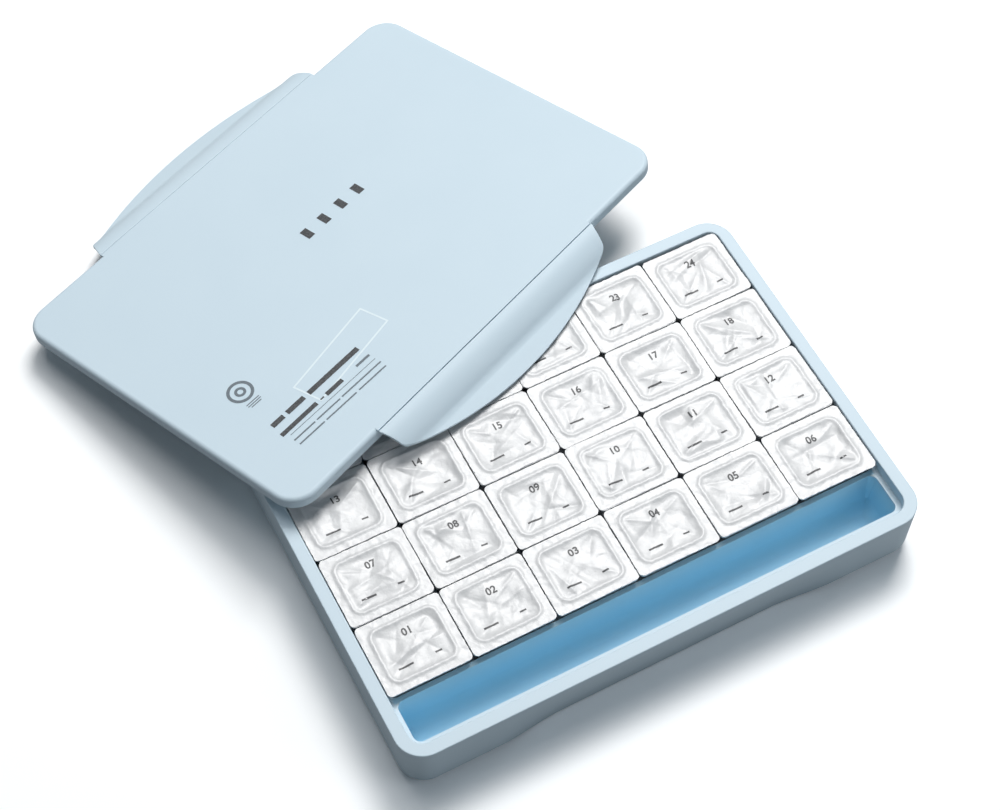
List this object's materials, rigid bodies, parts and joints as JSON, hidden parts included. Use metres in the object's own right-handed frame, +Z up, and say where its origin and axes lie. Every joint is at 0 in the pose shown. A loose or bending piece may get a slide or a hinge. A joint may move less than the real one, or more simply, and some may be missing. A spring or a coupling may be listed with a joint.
{
  "type": "gouache paint set box",
  "caption": "Shallow paint box with foil-sealed paint cups in a grid, a brush trough along one side and a lift-off lid with hinged side flaps, shown leaning off the box.",
  "frame": {"origin": "centre of the tray's underside, where the box stands on a table", "axes": "+X along the tray's long side, +Y from the brush trough to the rear side, where the lid leans, +Z up"},
  "size_m": [0.359, 0.4362, 0.0549],
  "materials": {
    "tray_plastic": "satin",
    "lid_plastic": "satin",
    "cup_plastic": "gloss",
    "foil": "crinkled matte",
    "paint": "matte"
  },
  "bodies": {
    "tray_body": {"tray": "tray_plastic", "paint_cups_under_lid": "cup_plastic", "foil_seals_under_lid": "foil", "paint_fills_under_lid": "paint"},
    "lid_body": {"lid": "lid_plastic"},
    "front_flap_body": {"front_flap": "lid_plastic"},
    "rear_flap_body": {"rear_flap": "lid_plastic"},
    "cup_a1": {"paint_cup_a1": "cup_plastic", "foil_seal_a1": "foil", "paint_fill_a1": "paint"},
    "cup_a2": {"paint_cup_a2": "cup_plastic", "foil_seal_a2": "foil", "paint_fill_a2": "paint"},
    "cup_a3": {"paint_cup_a3": "cup_plastic", "foil_seal_a3": "foil", "paint_fill_a3": "paint"},
    "cup_a4": {"paint_cup_a4": "cup_plastic", "foil_seal_a4": "foil", "paint_fill_a4": "paint"},
    "cup_a5": {"paint_cup_a5": "cup_plastic", "foil_seal_a5": "foil", "paint_fill_a5": "paint"},
    "cup_a6": {"paint_cup_a6": "cup_plastic", "foil_seal_a6": "foil", "paint_fill_a6": "paint"},
    "cup_b1": {"paint_cup_b1": "cup_plastic", "foil_seal_b1": "foil", "paint_fill_b1": "paint"},
    "cup_b2": {"paint_cup_b2": "cup_plastic", "foil_seal_b2": "foil", "paint_fill_b2": "paint"},
    "cup_b3": {"paint_cup_b3": "cup_plastic", "foil_seal_b3": "foil", "paint_fill_b3": "paint"},
    "cup_b4": {"paint_cup_b4": "cup_plastic", "foil_seal_b4": "foil", "paint_fill_b4": "paint"},
    "cup_b5": {"paint_cup_b5": "cup_plastic", "foil_seal_b5": "foil", "paint_fill_b5": "paint"},
    "cup_b6": {"paint_cup_b6": "cup_plastic", "foil_seal_b6": "foil", "paint_fill_b6": "paint"},
    "cup_c4": {"paint_cup_c4": "cup_plastic", "foil_seal_c4": "foil", "paint_fill_c4": "paint"},
    "cup_c5": {"paint_cup_c5": "cup_plastic", "foil_seal_c5": "foil", "paint_fill_c5": "paint"},
    "cup_c6": {"paint_cup_c6": "cup_plastic", "foil_seal_c6": "foil", "paint_fill_c6": "paint"},
    "cup_d6": {"paint_cup_d6": "cup_plastic", "foil_seal_d6": "foil", "paint_fill_d6": "paint"}
  },
  "joints": [
    {"name": "lid_lift", "type": "slide", "parent": "tray_body", "child": "lid_body", "axis": [0, 0, 1], "range_m": [0, 0.15]},
    {"name": "front_flap_hinge", "type": "hinge", "parent": "lid_body", "child": "front_flap_body", "pos_m": [-0.0023, 0.09011, 0.05227], "axis": [-0.925, -0.3794, 0.0192], "range_deg": [0, 85]},
    {"name": "rear_flap_hinge", "type": "hinge", "parent": "lid_body", "child": "rear_flap_body", "pos_m": [-0.08203, 0.28276, 0.01733], "axis": [0.925, 0.3794, -0.0192], "range_deg": [0, 85]},
    {"name": "cup_a1_lift", "type": "slide", "parent": "tray_body", "child": "cup_a1", "axis": [0, 0, 1], "range_m": [0, 0.05]},
    {"name": "cup_a2_lift", "type": "slide", "parent": "tray_body", "child": "cup_a2", "axis": [0, 0, 1], "range_m": [0, 0.05]},
    {"name": "cup_a3_lift", "type": "slide", "parent": "tray_body", "child": "cup_a3", "axis": [0, 0, 1], "range_m": [0, 0.05]},
    {"name": "cup_a4_lift", "type": "slide", "parent": "tray_body", "child": "cup_a4", "axis": [0, 0, 1], "range_m": [0, 0.05]},
    {"name": "cup_a5_lift", "type": "slide", "parent": "tray_body", "child": "cup_a5", "axis": [0, 0, 1], "range_m": [0, 0.05]},
    {"name": "cup_a6_lift", "type": "slide", "parent": "tray_body", "child": "cup_a6", "axis": [0, 0, 1], "range_m": [0, 0.05]},
    {"name": "cup_b1_lift", "type": "slide", "parent": "tray_body", "child": "cup_b1", "axis": [0, 0, 1], "range_m": [0, 0.05]},
    {"name": "cup_b2_lift", "type": "slide", "parent": "tray_body", "child": "cup_b2", "axis": [0, 0, 1], "range_m": [0, 0.05]},
    {"name": "cup_b3_lift", "type": "slide", "parent": "tray_body", "child": "cup_b3", "axis": [0, 0, 1], "range_m": [0, 0.05]},
    {"name": "cup_b4_lift", "type": "slide", "parent": "tray_body", "child": "cup_b4", "axis": [0, 0, 1], "range_m": [0, 0.05]},
    {"name": "cup_b5_lift", "type": "slide", "parent": "tray_body", "child": "cup_b5", "axis": [0, 0, 1], "range_m": [0, 0.05]},
    {"name": "cup_b6_lift", "type": "slide", "parent": "tray_body", "child": "cup_b6", "axis": [0, 0, 1], "range_m": [0, 0.05]},
    {"name": "cup_c4_lift", "type": "slide", "parent": "tray_body", "child": "cup_c4", "axis": [0, 0, 1], "range_m": [0, 0.05]},
    {"name": "cup_c5_lift", "type": "slide", "parent": "tray_body", "child": "cup_c5", "axis": [0, 0, 1], "range_m": [0, 0.05]},
    {"name": "cup_c6_lift", "type": "slide", "parent": "tray_body", "child": "cup_c6", "axis": [0, 0, 1], "range_m": [0, 0.05]},
    {"name": "cup_d6_lift", "type": "slide", "parent": "tray_body", "child": "cup_d6", "axis": [0, 0, 1], "range_m": [0, 0.05]}
  ]
}
